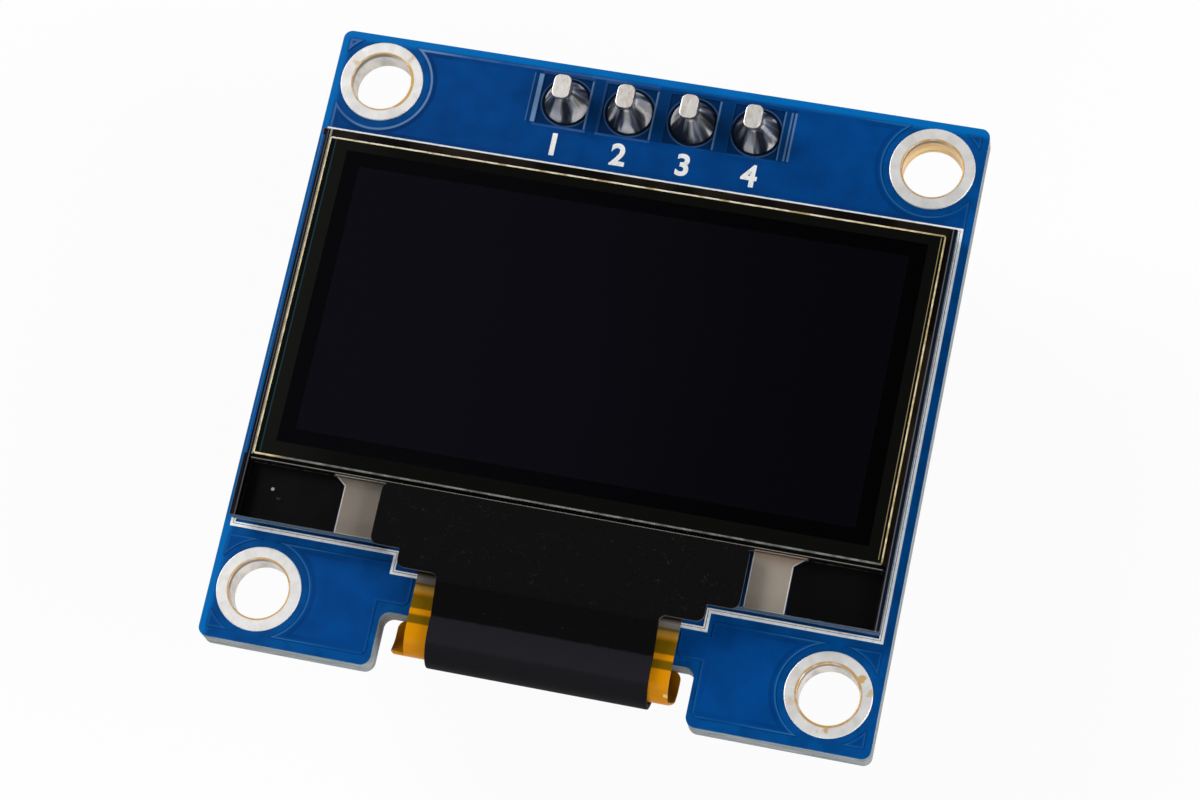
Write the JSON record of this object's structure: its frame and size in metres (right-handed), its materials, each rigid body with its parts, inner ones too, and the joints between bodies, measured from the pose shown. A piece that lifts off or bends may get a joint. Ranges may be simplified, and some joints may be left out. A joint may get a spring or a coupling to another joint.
{
  "type": "small oled module",
  "caption": "Small monochrome OLED display on a blue circuit board with corner mounting holes, a folded flex in an edge notch and a pin header behind.",
  "frame": {"origin": "centre of the four mounting holes, on the back face of the circuit board", "axes": "+Z out of the display, +Y from the notched edge towards the header edge, +X to the right as the display is read"},
  "size_m": [0.026, 0.0252, 0.0115],
  "materials": {
    "board": "blue solder mask over glass-fibre board",
    "tinned_ring": "tinned copper, brushed",
    "black_plastic": "moulded black plastic",
    "pin_metal": "tinned",
    "solder": "bright solder",
    "black_film": "black double-sided film",
    "rear_glass": "clear glass",
    "desiccant": "white sheet",
    "panel_seal": "cured resin",
    "emitter": "thin films, unlit",
    "front_glass": "clear glass",
    "polarizer": "dark polarising film",
    "bare_chip": "bare silicon",
    "electrode": "satin metal film",
    "ledge_coating": "black coating",
    "flex": "amber polyimide film",
    "contact_solder": "bright solder",
    "cover_tape": "matt black tape",
    "moulded_package": "moulded black epoxy",
    "lead_metal": "tinned leads",
    "capacitor_body": "fired ceramic",
    "resistor_body": "black glaze",
    "end_cap": "tinned end caps"
  },
  "bodies": {
    "root": {"circuit_board": "board", "mounting_ring_1": "tinned_ring", "mounting_ring_2": "tinned_ring", "mounting_ring_3": "tinned_ring", "mounting_ring_4": "tinned_ring", "header_strip": "black_plastic", "header_pin_1": "pin_metal", "header_pin_2": "pin_metal", "header_pin_3": "pin_metal", "header_pin_4": "pin_metal", "header_solder_1": "solder", "header_solder_2": "solder", "header_solder_3": "solder", "header_solder_4": "solder", "panel_adhesive": "black_film", "rear_glass": "rear_glass", "desiccant_sheet": "desiccant", "panel_seal": "panel_seal", "emitter_layers": "emitter", "front_glass": "front_glass", "polarizer": "polarizer", "driver_chip": "bare_chip", "electrode_tab_left": "electrode", "electrode_tab_right": "electrode", "ledge_coating_left": "ledge_coating", "ledge_coating_right": "ledge_coating", "display_flex": "flex", "flex_solder": "contact_solder", "cover_tape": "cover_tape", "regulator": "moulded_package", "regulator_leads": "lead_metal", "capacitor_1": "capacitor_body", "capacitor_2": "capacitor_body", "capacitor_3": "capacitor_body", "capacitor_4": "capacitor_body", "capacitor_5": "capacitor_body", "resistor_1": "resistor_body", "resistor_2": "resistor_body", "resistor_3": "resistor_body", "resistor_4": "resistor_body", "resistor_5": "resistor_body", "resistor_6": "resistor_body", "end_caps": "end_cap"}
  },
  "joints": []
}
